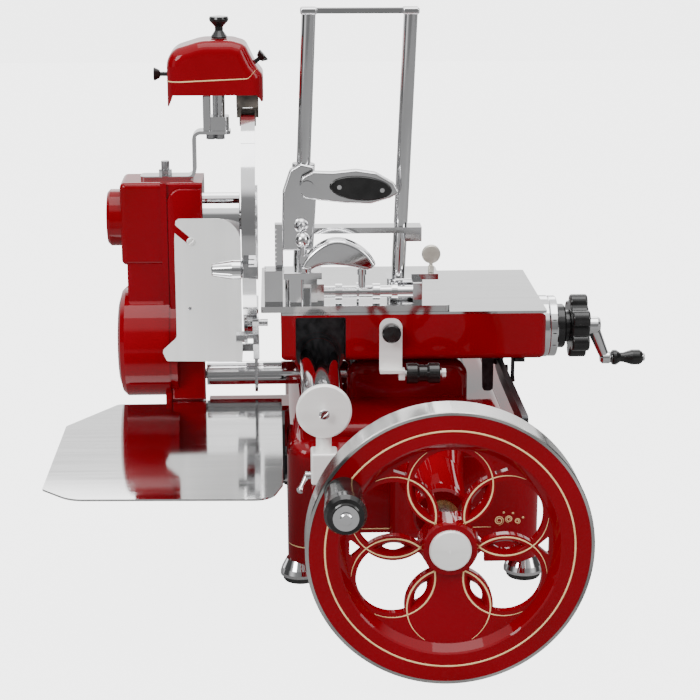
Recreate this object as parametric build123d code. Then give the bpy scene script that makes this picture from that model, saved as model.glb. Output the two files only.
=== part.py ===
from build123d import *
import math
import os

# Hand-cranked flywheel meat slicer, in millimetres.
# X runs to the right across the machine and is the axis of the blade, Y runs away from the
# flywheel towards the back, and Z is up from the surface that the feet stand on.
# The model is laid out about the blade centre (X = Y = 0) and moved at the end, so that
# the written origin is the bottom centre of its bounding box.

# ---- driving dimensions -------------------------------------------------------------
RUN = 0.06               # radial clearance of a running fit
WALL = 8.0               # wall of the base casting

BLADE_R = 150.0
BLADE_Z = 440.0          # height of the blade axis
TUBE_R = 36.0            # tube between the drive casing and the blade
GUARD_R = 159.0
GUARD_JOINT = 45.0       # joint between the ring guard's two parts, degrees above the axis
GUARD_START = 77.0       # the ring guard begins this many degrees above the axis, in front

WHEEL_X, WHEEL_Z = 223.7, 173.0
WHEEL_FRONT = -540.0
WHEEL_R = 161.0
RIM_WIDTH = 42.0
SHAFT_R = 15.0
OPENING_AT = 72.4        # radius on which the wheel's round openings are centred
PETAL_AT = 62.5          # and the petals between them
HANDLE_R = 137.0         # crank radius of the flywheel handle
HANDLE_ANGLE = 150.0

CROSS_Z = 224.0          # cross shaft, under the carriage
HOUSING_R = 16.0         # tube round the cross shaft
TOWER_X0, TOWER_X1 = 128.0, 292.0    # gear tower on the base, over the cross shaft
SNOUT_FRONT = -430.0     # front of the long bearing boss of the flywheel shaft
DRUM_Z = 272.0           # chain sprocket shaft in the casing's drum
DRUM_R = 75.0
CHAIN_R, BLADE_SPROCKET_R = 32.0, 18.0

RAIL_X, RAIL_Z, RAIL_R = 90.0, 270.0, 26.0
RAIL_FRONT, RAIL_BACK = -325.0, 205.0

BASE_X0, BASE_X1 = 46.0, 372.0
BASE_Y0, BASE_Y1 = -222.0, 206.0
BASE_BOTTOM, BASE_TOP = 30.0, 192.0
FOOT_XS, FOOT_YS = (62.0, 355.0), (-196.0, 178.0)

CAR_X0, CAR_X1 = 40.0, 390.0
CAR_Y0, CAR_Y1 = -110.0, 130.0
CAR_Z0, CAR_Z1 = 270.0, 333.0
BOSS_Y0 = -72.0          # the bushed boss round the rail starts here, behind the front wall
SCREW_Y, SCREW_Z = -20.0, 292.0
TABLE_Z = 345.0          # top of the meat table
TABLE_X0, TABLE_X1 = 14.0, 262.0
TABLE_TRAVEL = 95.0
NUT_X0 = 134.0           # feed nut, hanging through the slot in the carriage top
SLOT_X0, SLOT_X1 = NUT_X0 - 3, NUT_X0 + 26 + TABLE_TRAVEL + 4

STRAP_HIGH, STRAP_THICK = 557.0, 4.5     # the strap that carries the sharpener

LEAN = 2.3               # the mast leans this many degrees to the right
MAST_Y, MAST_X, MAST_PITCH = -40.0, 65.0, 132.0
MAST_R, MAST_TOP = 9.25, 716.0

TRAY_Z = 198.0
DEFLECTOR_Y = -80.0

# push buttons of the sharpener: where each stem leaves the hood, and which way
LEFT_BUTTON, LEFT_WAY = (-101.0, 0, 635.5), (-1, 0, 0)
RIGHT_BUTTON, RIGHT_WAY = (4.0, 0, 646.0), (0.77, 0, 0.64)


# ---- shape helpers ------------------------------------------------------------------
def block(x0, x1, y0, y1, z0, z1):
    return Pos((x0 + x1) / 2, (y0 + y1) / 2, (z0 + z1) / 2) * Box(x1 - x0, y1 - y0, z1 - z0)


def rod(radius, start, end):
    """Round bar from one point to another."""
    axis = Vector(*end) - Vector(*start)
    stock = Solid.make_cylinder(radius, axis.length)
    return Plane(origin=start, z_dir=axis.normalized()).location * stock


def tube(outer, inner, start, end):
    return rod(outer, start, end) - rod(inner, start, end)


def turned(profile, at, direction):
    """Revolve (radius, distance) pairs about the line through a point."""
    face = make_face(Polyline([(r, 0, h) for r, h in profile], close=True))
    solid = revolve(face, Axis.Z)
    return Plane(origin=at, z_dir=direction).location * solid


def plate(points, start, direction, thickness, radii=0.0):
    """Flat plate: an outline of 3-D points, its corner radii, and a thickness."""
    line = FilletPolyline(points, radius=radii, close=True)
    return extrude(make_face(line), amount=thickness, dir=direction).moved(Pos(*start))


def plate_xz(points, y0, y1, radii=0.0):
    return plate([(x, 0, z) for x, z in points], (0, y0, 0), (0, 1, 0), y1 - y0, radii)


def plate_xy(points, z0, z1, radii=0.0):
    return plate([(x, y, 0) for x, y in points], (0, 0, z0), (0, 0, 1), z1 - z0, radii)


def plate_yz(points, x0, x1, radii=0.0):
    return plate([(0, y, z) for y, z in points], (x0, 0, 0), (1, 0, 0), x1 - x0, radii)


def rounded(solid, radius, axis=None, where=None):
    """Fillet the edges of a solid: those along an axis, or those that a test picks."""
    edges = solid.edges().filter_by(axis) if axis else solid.edges()
    if where:
        edges = edges.filter_by(where)
    return fillet(edges, radius)


def slotted_screw(radius, head, at, direction):
    """Cheese-head screw with a straight slot in its face."""
    face = turned([(0, 0), (radius, 0), (radius, head * 0.7), (radius * 0.8, head), (0, head)],
                  (0, 0, 0), (0, 0, 1))
    slot = Box(radius * 2.2, radius * 0.28, head * 0.5)
    return Plane(origin=at, z_dir=direction).location * (face - Pos(0, 0, head) * slot)


def hexagon(across_flats, at, direction, height):
    face = RegularPolygon(across_flats / 2, 6, major_radius=False)
    return Plane(origin=at, z_dir=direction).location * extrude(face, height)


def polar(radius, degrees):
    return radius * math.cos(math.radians(degrees)), radius * math.sin(math.radians(degrees))


def toothed_wheel(pitch_r, teeth, depth, share, width, twist=0.0):
    """Gear blank along +Z with straight-sided teeth; share is the tooth's part of the pitch."""
    half = 180.0 / teeth * share
    root, tip = pitch_r - depth, pitch_r + depth * 0.7
    points = []
    for index in range(teeth):
        middle = 360.0 * index / teeth
        for radius, offset in ((root, -half * 1.25), (tip, -half * 0.6),
                               (tip, half * 0.6), (root, half * 1.25)):
            points.append(polar(radius, middle + offset))
    face = make_face(Polyline([(x, y, 0) for x, y in points], close=True))
    if twist:
        return Solid.extrude_linear_with_rotation(face.face(), (0, 0, 0), (0, 0, width), twist)
    return extrude(face, width)


def put(solid, at, direction, turn=0.0):
    """Stand a solid made along +Z on a point, along a direction."""
    return Plane(origin=at, z_dir=direction).location * Rot(0, 0, turn) * solid


# ---- base and feet ------------------------------------------------------------------
def base_casting():
    """Enamelled casting: hollow, open below, arched between its four legs."""
    body = block(BASE_X0, BASE_X1, BASE_Y0, BASE_Y1, BASE_BOTTOM, BASE_TOP)
    body = rounded(body, 30, Axis.Z)
    body = rounded(body, 20, where=lambda e: e.center().Z > BASE_TOP - 1)
    hollow = block(BASE_X0 + WALL, BASE_X1 - WALL, BASE_Y0 + WALL, BASE_Y1 - WALL,
                   BASE_BOTTOM - 1, BASE_TOP - WALL)
    hollow = rounded(hollow, 22, Axis.Z)
    body -= rounded(hollow, 12, where=lambda e: e.center().Z > BASE_TOP - WALL - 1)
    # gear tower over the cross shaft, and the bulge that carries the flywheel bearing
    tower = rounded(block(TOWER_X0, TOWER_X1, -66, 66, BASE_TOP - 12, 258), 24, Axis.Y,
                    where=lambda e: e.center().Z > 250)
    tower = rounded(tower, 12, Axis.Z)
    bulge = rounded(block(176, 271, -252, BASE_Y0 + 20, 62, 214), 30,
                    where=lambda e: e.center().Y < -250)
    roof = rounded(block(82, 336, -190, 178, BASE_TOP - 10, 207), 14,
                   where=lambda e: e.center().Z > 206)
    body += tower + bulge + roof
    body -= rounded(block(TOWER_X0 + 9, TOWER_X1 - 9, -57, 57, 150, 250), 16, Axis.Y,
                    where=lambda e: e.center().Z > 240)
    body -= block(190, 257, -240, BASE_Y0 + 30, 80, 200)
    # arches between the legs, across and along
    arch = rounded(block(118, 300, BASE_Y0 - 40, BASE_Y1 + 10, BASE_BOTTOM - 2, 72), 26, Axis.Y,
                   where=lambda e: e.center().Z > 70)
    side = rounded(block(BASE_X0 - 10, BASE_X1 + 10, -146, 128, BASE_BOTTOM - 2, 68), 26, Axis.X,
                   where=lambda e: e.center().Z > 66)
    body -= arch + side
    for x in FOOT_XS:
        for y in FOOT_YS:
            body += rod(15, (x, y, BASE_BOTTOM), (x, y, 180))
    # arm to the drive casing, under the tray
    body += rounded(block(-60, BASE_X0 + 12, -34, 34, 112, 184), 10, Axis.X)
    # front and back supports of the guide rail
    body += rounded(block(75, 105, -341, BASE_Y0 + 12, 150, 180), 6, Axis.Y)
    body += plate_xz([(56, 150), (124, 150), (124, 292), (56, 292)], 191, BASE_Y1, [0, 0, 24, 24])
    body -= rod(RAIL_R, (RAIL_X, 180, RAIL_Z), (RAIL_X, RAIL_BACK, RAIL_Z))
    # flywheel bearing boss in front, bearing wall behind
    snout = [(0, 0), (30, 0), (33, 3), (33, 20), (37, 110), (44, 180), (0, 180)]
    body += turned(snout, (WHEEL_X, SNOUT_FRONT, WHEEL_Z), (0, 1, 0))
    body += rod(24, (WHEEL_X, 70, WHEEL_Z), (WHEEL_X, 96, WHEEL_Z))
    body += block(WHEEL_X - 6, WHEEL_X + 6, 70, 96, WHEEL_Z, BASE_TOP - 2)
    for y0, y1 in ((SNOUT_FRONT - 1, SNOUT_FRONT + 40), (60, 101)):
        body -= rod(SHAFT_R + 5, (WHEEL_X, y0, WHEEL_Z), (WHEEL_X, y1, WHEEL_Z))
    body -= rod(SHAFT_R + 3, (WHEEL_X, SNOUT_FRONT + 30, WHEEL_Z), (WHEEL_X, 70, WHEEL_Z))
    # bores for the cross shaft housing and its far bearing
    body -= rod(HOUSING_R, (TOWER_X0 - 10, 0, CROSS_Z), (TOWER_X0 + 10, 0, CROSS_Z))
    body -= rod(12, (270, 0, CROSS_Z), (284.5, 0, CROSS_Z))
    return body


def base_nodes():
    caps, pads = [], []
    for x in FOOT_XS:
        for y in FOOT_YS:
            bell = [(0, 0), (26, 0), (26, 4), (24, 10), (20, 18), (18, 22), (0, 22)]
            caps.append(turned(bell, (x, y, 8), (0, 0, 1)))
            pads.append(turned([(0, 0), (21, 0), (22.5, 2), (22.5, 8), (0, 8)], (x, y, 0), (0, 0, 1)))
    rail = tube(RAIL_R, RAIL_R - 4, (RAIL_X, RAIL_FRONT, RAIL_Z), (RAIL_X, RAIL_BACK, RAIL_Z))
    disc = turned([(0, 0), (33.5, 0), (33.5, 4), (31.5, 6), (0, 6)],
                  (RAIL_X, RAIL_FRONT, RAIL_Z), (0, -1, 0))
    disc += rod(RAIL_R - 4, (RAIL_X, RAIL_FRONT, RAIL_Z), (RAIL_X, RAIL_FRONT + 14, RAIL_Z))
    post = rod(9.5, (RAIL_X, RAIL_FRONT + 10, 218), (RAIL_X, RAIL_FRONT + 10, RAIL_Z - RAIL_R + 1))
    post += rounded(block(74, 106, -341, -309, 180, 220), 3)
    post -= rod(3 + RUN, (70, -325, 188), (84, -325, 188))
    post -= rod(RAIL_R, (RAIL_X, RAIL_FRONT, RAIL_Z), (RAIL_X, RAIL_BACK, RAIL_Z))
    bush = tube(SHAFT_R + 5, SHAFT_R + RUN, (WHEEL_X, SNOUT_FRONT - 3, WHEEL_Z),
                (WHEEL_X, SNOUT_FRONT + 40, WHEEL_Z))
    bush += tube(SHAFT_R + 5, SHAFT_R + RUN, (WHEEL_X, 70, WHEEL_Z), (WHEEL_X, 98, WHEEL_Z))
    housing = tube(HOUSING_R, 11, (-62, 0, CROSS_Z), (TOWER_X0 + 9, 0, CROSS_Z))
    cross_bush = tube(11, 7 + RUN, (-62, 0, CROSS_Z), (-46, 0, CROSS_Z))
    cross_bush += tube(11, 7 + RUN, (TOWER_X0 - 7, 0, CROSS_Z), (TOWER_X0 + 9, 0, CROSS_Z))
    cross_bush += tube(12, 7 + RUN, (270, 0, CROSS_Z), (284.5, 0, CROSS_Z))
    lever_at = (69, -325, 188)
    lever = rod(3, (82, -325, 188), lever_at) + rod(5, (73.5, -325, 188), (67, -325, 188))
    lever += rod(3.2, lever_at, (61, -333, 172))
    lever += Pos(61, -333, 172) * Sphere(4.6)
    return {
        "base_casting": base_casting(), "foot_caps": caps, "foot_pads": pads,
        "guide_rail": rail, "rail_post": [disc, post], "wheel_bushes": [bush],
        "cross_shaft_housing": housing, "cross_shaft_bushes": [cross_bush],
        "rail_lock_lever": lever,
    }


# ---- drive casing -------------------------------------------------------------------
def casing_outline(half_depth, top, drum_r, x0, x1):
    """Upright box with a round drum near its foot, seen along X."""
    upright = rounded(block(x0, x1, -half_depth, half_depth, DRUM_Z, top), 6, Axis.X,
                      where=lambda e: e.center().Z > top - 1)
    return upright + rod(drum_r, (x0, 0, DRUM_Z), (x1, 0, DRUM_Z))


def casing_nodes():
    split, right, top = -109.0, -62.0, 497.0
    # right half: bearing block above, column below
    inner = rounded(block(split, right, -40, 40, 386, top), 4, Axis.X)
    inner += block(split, -66, -40, 40, 112, 388)
    inner += rod(DRUM_R - 2, (split, 0, DRUM_Z), (split + 10, 0, DRUM_Z))
    inner -= rod(TUBE_R - 6, (split - 1, 0, BLADE_Z), (right + 1, 0, BLADE_Z))
    inner -= rod(TUBE_R, (right - 10, 0, BLADE_Z), (right + 1, 0, BLADE_Z))
    inner -= rod(11, (split - 1, 0, CROSS_Z), (right + 1, 0, CROSS_Z))
    inner -= rod(HOUSING_R, (-66 - 18, 0, CROSS_Z), (-60, 0, CROSS_Z))
    inner -= rod(9, (split - 1, 0, DRUM_Z), (split + 18, 0, DRUM_Z))
    # left half: a shell over the chain, with a blade bearing cap and the sprocket drum
    cover = rounded(block(-171, split, -40, 40, 386, top), 7)
    cover += block(-164, split, -38, 38, DRUM_Z, 392)
    cover += turned([(0, 0), (DRUM_R, 0), (DRUM_R, 60), (DRUM_R - 6, 66), (DRUM_R - 20, 70), (0, 71)],
                    (split, 0, DRUM_Z), (-1, 0, 0))
    cover += rod(38, (-186, 0, BLADE_Z + 4), (-165, 0, BLADE_Z + 4))
    cover += turned([(38, 0), (34, 4), (0, 4)], (-186, 0, BLADE_Z + 4), (-1, 0, 0))
    cover += block(-117, split, -44, 44, 181, top)
    chamber = casing_outline(36.5, BLADE_Z + 34, DRUM_R - 6, -160, split + 1)
    cover -= chamber
    cover -= rod(9, (-172, 0, DRUM_Z), (-150, 0, DRUM_Z))
    cover -= rod(11, (-172, 0, BLADE_Z), (-150, 0, BLADE_Z))
    bearings = [
        tube(TUBE_R - 6, 14 + RUN, (-90, 0, BLADE_Z), (-76, 0, BLADE_Z)),
        tube(TUBE_R - 6, 14 + RUN, (-32, 0, BLADE_Z), (-18, 0, BLADE_Z)),
        tube(11, 7 + RUN, (-172, 0, BLADE_Z), (-160, 0, BLADE_Z)),
        tube(9, 6 + RUN, (split + 4, 0, DRUM_Z), (split + 18, 0, DRUM_Z)),
        tube(9, 6 + RUN, (-172, 0, DRUM_Z), (-160, 0, DRUM_Z)),
    ]
    sleeve = tube(TUBE_R, TUBE_R - 6, (-72, 0, BLADE_Z), (-14, 0, BLADE_Z))
    chain = [loop_band(CHAIN_R + 1.6, BLADE_SPROCKET_R + 1.6, 4.2, -151, -143)]
    strap = z_strap()
    studs = [hexagon(15, (-112, 0, top + STRAP_THICK), (0, 0, 1), 7)
             + rod(5.5, (-112, 0, top + STRAP_THICK + 6), (-112, 0, top + 23))]
    studs += [hexagon(11, (x, -6, STRAP_HIGH), (0, 0, -1), 7) for x in (-50, -38)]
    return {
        "drive_casing": inner, "chain_cover": cover, "shaft_bearings": bearings,
        "bearing_tube": sleeve, "drive_chain": chain, "sharpener_strap": strap,
        "strap_bolts": studs,
    }


def loop_band(low_r, high_r, thick, x0, x1):
    """Closed belt-like loop around the two sprocket axes."""
    def hull(grow):
        low = Pos(0, DRUM_Z) * Circle(low_r + grow)
        high = Pos(0, BLADE_Z) * Circle(high_r + grow)
        return make_hull(low.edges() + high.edges())
    ring = extrude(hull(thick) - hull(0), x1 - x0)
    # the sketch's own x runs along Y, and its own y runs along Z
    return Plane(origin=(x0, 0, 0), x_dir=(0, 1, 0), z_dir=(1, 0, 0)).location * ring


def z_strap():
    """Bent steel strap that carries the sharpener above the casing."""
    low, high, thick, riser = 497.0, STRAP_HIGH, STRAP_THICK, -70.5
    inside, outside = 7.0, 7.0 + STRAP_THICK
    outline = [(-145, low), (riser, low), (riser, high), (-24, high), (-24, high + thick),
               (riser - thick, high + thick), (riser - thick, low + thick), (-145, low + thick)]
    strap = plate_xz(outline, -15, 15, [0, outside, inside, 0, 0, outside, inside, 0])
    return rounded(strap, 7, Axis.Z, lambda e: e.center().X < -140 or e.center().X > -25)


# ---- flywheel -----------------------------------------------------------------------
def wheel_opening(angle):
    """Round opening of the wheel's web, before the petals are left standing in it."""
    x, z = polar(OPENING_AT, angle)
    return Pos(x, z) * Circle(41.5)


def flywheel_nodes():
    back = WHEEL_FRONT + RIM_WIDTH
    axis_at = (WHEEL_X, WHEEL_FRONT, WHEEL_Z)
    rim = turned([(157, 0), (WHEEL_R - 1, 0), (WHEEL_R, 1), (WHEEL_R, RIM_WIDTH - 1),
                  (WHEEL_R - 1, RIM_WIDTH), (151, RIM_WIDTH), (151, 10), (157, 10)], axis_at, (0, 1, 0))
    # flat outer band, thin web set back behind it, hub boss
    disc = turned([(0, 3), (30, 3), (32, 8), (32, 11), (116, 11), (123, 2), (125, 0.6), (157, 0.6),
                   (157, 10), (151, 10), (151, 24), (120, 24), (116, 20), (34, 20), (34, 40), (0, 40)],
                  axis_at, (0, 1, 0))
    sketch = Sketch()
    for angle in (30, 90, 150, 210, 330):
        sketch += wheel_opening(angle)
    for angle in range(0, 360, 60):
        x, z = polar(PETAL_AT, angle)
        sketch -= Pos(x, z) * Rot(0, 0, angle) * lens(33.5, 14.5)
    for angle in range(0, 360, 60):
        x, z = polar(PETAL_AT, angle)
        sketch += Pos(x, z) * Rot(0, 0, angle) * lens(13, 4.8)
    for angle in (0, 60, 120, 180):
        sketch += gusset_hole(angle)
    cutter = extrude(sketch, 60)
    # the sketch's own x runs along X, and its own y runs along Z
    frame = Plane(origin=(WHEEL_X, WHEEL_FRONT + 50, WHEEL_Z), x_dir=(1, 0, 0), z_dir=(0, -1, 0))
    disc -= frame.location * cutter
    for angle in range(0, 360, 60):
        x, z = polar(PETAL_AT, angle)
        dish = extrude(lens(23, 8.2), -5.5, taper=35)
        place = Plane(origin=(WHEEL_X + x, WHEEL_FRONT + 11, WHEEL_Z + z),
                      x_dir=(math.cos(math.radians(angle)), 0, math.sin(math.radians(angle))),
                      z_dir=(0, -1, 0))
        disc -= place.location * dish
    bore = rod(SHAFT_R, (WHEEL_X, WHEEL_FRONT, WHEEL_Z), (WHEEL_X, back + 10, WHEEL_Z))
    disc -= bore
    hx, hz = polar(HANDLE_R, HANDLE_ANGLE)
    hx, hz = WHEEL_X + hx, WHEEL_Z + hz
    disc -= rod(7, (hx, WHEEL_FRONT, hz), (hx, WHEEL_FRONT + 40, hz))
    cap = turned([(0, 0), (23.5, 0), (23.5, 3), (22, 5), (0, 6.5)],
                 (WHEEL_X, WHEEL_FRONT + 3, WHEEL_Z), (0, -1, 0))
    shaft = rod(SHAFT_R, (WHEEL_X, WHEEL_FRONT + 3, WHEEL_Z), (WHEEL_X, 100, WHEEL_Z))
    gear = toothed_wheel(31.3, 24, 2.0, 0.45, 30, 30)
    gear = put(gear, (WHEEL_X, -15, WHEEL_Z), (0, 1, 0))
    gear -= rod(SHAFT_R, (WHEEL_X, -20, WHEEL_Z), (WHEEL_X, 20, WHEEL_Z))
    spindle = rod(7, (hx, WHEEL_FRONT - 73, hz), (hx, WHEEL_FRONT + 24, hz))
    spindle += rod(14, (hx, WHEEL_FRONT - 76, hz), (hx, WHEEL_FRONT - 73, hz))
    spindle += slotted_screw(7, 4, (hx, WHEEL_FRONT - 76, hz), (0, -1, 0))
    grip_profile = [(7 + RUN, 0.6), (19.5, 0.6), (21, 3), (21.3, 20), (23, 52), (23, 64), (20, 70),
                    (16, 71.5), (14.5, 72.6), (7 + RUN, 72.6)]
    grip = turned(grip_profile, (hx, WHEEL_FRONT, hz), (0, -1, 0))
    return {
        "flywheel_rim": rim, "flywheel_disc": disc, "hub_cap": cap, "drive_shaft": shaft + gear,
        "handle_spindle": spindle, "handle_grip": grip,
    }


def lens(half_length, half_width):
    """Pointed oval between two arcs, lying along x."""
    radius = (half_length ** 2 + half_width ** 2) / (2 * half_width)
    up = Pos(0, radius - half_width) * Circle(radius)
    down = Pos(0, half_width - radius) * Circle(radius)
    return up & down


def gusset_hole(angle):
    """Small three-sided opening outboard of a petal's tip."""
    points = [polar(98, angle), polar(112, angle - 6), polar(112, angle + 6)]
    return make_face(FilletPolyline([(x, y, 0) for x, y in points], radius=1.5, close=True))


# ---- blade drive --------------------------------------------------------------------
def drive_nodes():
    half_tooth = 180.0 / 32
    # cross shaft with its screw gear in the tower and a pinion in the drum
    shaft = rod(7, (-150, 0, CROSS_Z), (284, 0, CROSS_Z))
    screw_gear = toothed_wheel(16.5, 8, 1.8, 0.45, 26, 60)
    screw_gear = put(screw_gear, (WHEEL_X - 13, 0, CROSS_Z), (1, 0, 0))
    screw_gear -= rod(7, (WHEEL_X - 15, 0, CROSS_Z), (WHEEL_X + 15, 0, CROSS_Z))
    pinion = put(toothed_wheel(16, 16, 1.9, 0.42, 10), (-134, 0, CROSS_Z), (1, 0, 0))
    pinion -= rod(7, (-140, 0, CROSS_Z), (-120, 0, CROSS_Z))
    # countershaft on the drum's axis
    counter = rod(6, (-171, 0, DRUM_Z), (-92, 0, DRUM_Z))
    wheel = put(toothed_wheel(32, 32, 1.9, 0.42, 8), (-133, 0, DRUM_Z), (1, 0, 0), half_tooth)
    wheel -= rod(6, (-140, 0, DRUM_Z), (-120, 0, DRUM_Z))
    sprocket = put(toothed_wheel(CHAIN_R - 2.2, 16, 3.0, 0.4, 5), (-149.5, 0, DRUM_Z), (1, 0, 0))
    sprocket -= rod(6, (-155, 0, DRUM_Z), (-140, 0, DRUM_Z))
    # blade, its flange and its shaft
    small = put(toothed_wheel(BLADE_SPROCKET_R - 2.2, 9, 3.0, 0.4, 5), (-149.5, 0, BLADE_Z), (1, 0, 0))
    small -= rod(7, (-155, 0, BLADE_Z), (-140, 0, BLADE_Z))
    blade_shaft = rod(14, (-100, 0, BLADE_Z), (-3, 0, BLADE_Z))
    blade_shaft += rod(7, (-171, 0, BLADE_Z), (-100, 0, BLADE_Z))
    flange = turned([(14, 0), (14, 9), (40, 9), (40, 4), (36, 1), (24, 0)], (-12, 0, BLADE_Z), (1, 0, 0))
    blade = turned([(0, -3), (44, -3), (60, -1.4), (128, -2.0), (BLADE_R, 1.7), (BLADE_R, 2.3),
                    (128, 1.4), (60, 1.4), (44, 3), (0, 3)], (0, 0, BLADE_Z), (1, 0, 0))
    screws = []
    for index in range(6):
        y, z = polar(30, 60 * index + 30)
        screws.append(slotted_screw(4.5, 2.2, (3, y, BLADE_Z + z), (1, 0, 0)))
    return {
        "cross_shaft": shaft, "cross_gears": [screw_gear, pinion], "counter_shaft": counter,
        "drum_gears": [wheel, sprocket], "blade_shaft": [blade_shaft, small],
        "blade_flange": [flange] + screws, "blade": blade,
    }


# ---- guard, deflector, tray ---------------------------------------------------------
def guard_nodes():
    ring = turned([(GUARD_R - 6.5, -9), (GUARD_R, -9), (GUARD_R, 9), (GUARD_R - 6.5, 9)],
                  (0, 0, BLADE_Z), (1, 0, 0))
    # the ring is open over the top, from its front end to a point behind the sharpener
    far = GUARD_R * 2
    ny, nz = polar(far, 180 - GUARD_START)
    ring -= plate_yz([(0, BLADE_Z), (ny, BLADE_Z + nz), (far, BLADE_Z + far), (far, BLADE_Z + 40)],
                     -20, 20)
    # joint line between the ring's upper and lower parts
    jy, jz = polar(GUARD_R, 180 - GUARD_JOINT)
    ring -= put(Box(1.4, 30, 20), (0, jy, BLADE_Z + jz), (0, jz, -jy)) & tube(
        GUARD_R + 5, GUARD_R - 2, (-20, 0, BLADE_Z), (20, 0, BLADE_Z))
    # clamp on the cross shaft housing that carries the ring and, with an arm, the deflector
    bracket = plate_yz([(-30, 203), (30, 203), (44, 300), (-44, 300)], 4, 8, [14, 14, 3, 3])
    bracket -= rod(GUARD_R, (-30, 0, BLADE_Z), (30, 0, BLADE_Z))
    bracket += block(-20, -12, DEFLECTOR_Y + 1, -20, 262, 272) + block(-20, 8, -26, -20, 262, 272)
    bracket -= rod(HOUSING_R, (-30, 0, CROSS_Z), (30, 0, CROSS_Z))
    outline = [(-96, 454), (-92, 457), (-11.5, 457), (-11.5, 263), (-112, 265), (-118, 279),
               (-98, 297), (-98, 429)]
    deflector = plate_xz(outline, DEFLECTOR_Y - 1, DEFLECTOR_Y + 1, [1, 2, 32, 3, 3, 6, 10, 3])
    slot = plate_xz([(-101, 453), (-101, 441), (-80, 423), (-75, 430)], DEFLECTOR_Y - 5, DEFLECTOR_Y + 5)
    deflector -= slot
    stay = block(-80, -68, DEFLECTOR_Y + 1, -40, 296, 312)
    # clamp in front of the ring: lug, stud, nut and conical knob
    front, height = -168.0, 408.5
    pivot = block(-7, 7, front - 8, -152, height - 9, height + 9)
    pivot -= rod(GUARD_R, (-20, 0, BLADE_Z), (20, 0, BLADE_Z))
    pivot += hexagon(21, (0, front, height), (1, 0, 0), 11)
    pivot += rod(4, (-26, front, height), (0, front, height))
    knob = turned([(4 + RUN, 0), (9, 0), (12.5, 3), (12.5, 14), (8.5, 38), (7, 39.5), (0, 40), (0, 24),
                   (4 + RUN, 24)], (-7.4, front, height), (-1, 0, 0))
    # forged lug below it, outside the ring, with a bolt to the left and a thumb screw to the right
    lug = plate_yz([(-128, 333), (-114, 336), (-95, 312), (-76, 296), (-66, 266), (-78, 264), (-92, 290),
                    (-110, 308)], 3, 11, [4, 4, 0, 4, 5, 5, 6, 6])
    lug -= rod(GUARD_R, (-30, 0, BLADE_Z), (30, 0, BLADE_Z))
    lug += rod(4.6, (11, -117, 326), (23, -117, 326)) + rod(2.5, (8, -117, 326), (12, -117, 326))
    lug += rod(3, (-10, -98, 302), (4, -98, 302)) + rod(8, (-8, -98, 302), (-4, -98, 302))
    lug += hexagon(13, (-8, -98, 302), (-1, 0, 0), 11)
    return {
        "guard_ring": ring, "guard_brackets": [bracket, stay, pivot, lug],
        "deflector_plate": deflector, "deflector_knob": knob,
    }


def tray_nodes():
    outline = [(-242, -392), (-206, -429), (26, -437), (40, -387), (40, -42), (-58, -42),
               (-58, -46), (-112, -46), (-112, -60), (-180, -60), (-240, -153)]
    radii = [6, 40, 26, 18, 2, 1, 1, 1, 1, 8, 10]
    tray = plate_xy(outline, TRAY_Z - 1.2, TRAY_Z + 1.2, radii)
    hook = block(38, 43.5, -150, -90, 120, TRAY_Z - 1.2)
    hook += block(0, 43.5, -150, -90, TRAY_Z - 5, TRAY_Z - 1.2)
    hook += block(38, BASE_X0, -140, -100, 124, 150)
    return {"receiving_tray": tray, "tray_bracket": hook}


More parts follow.
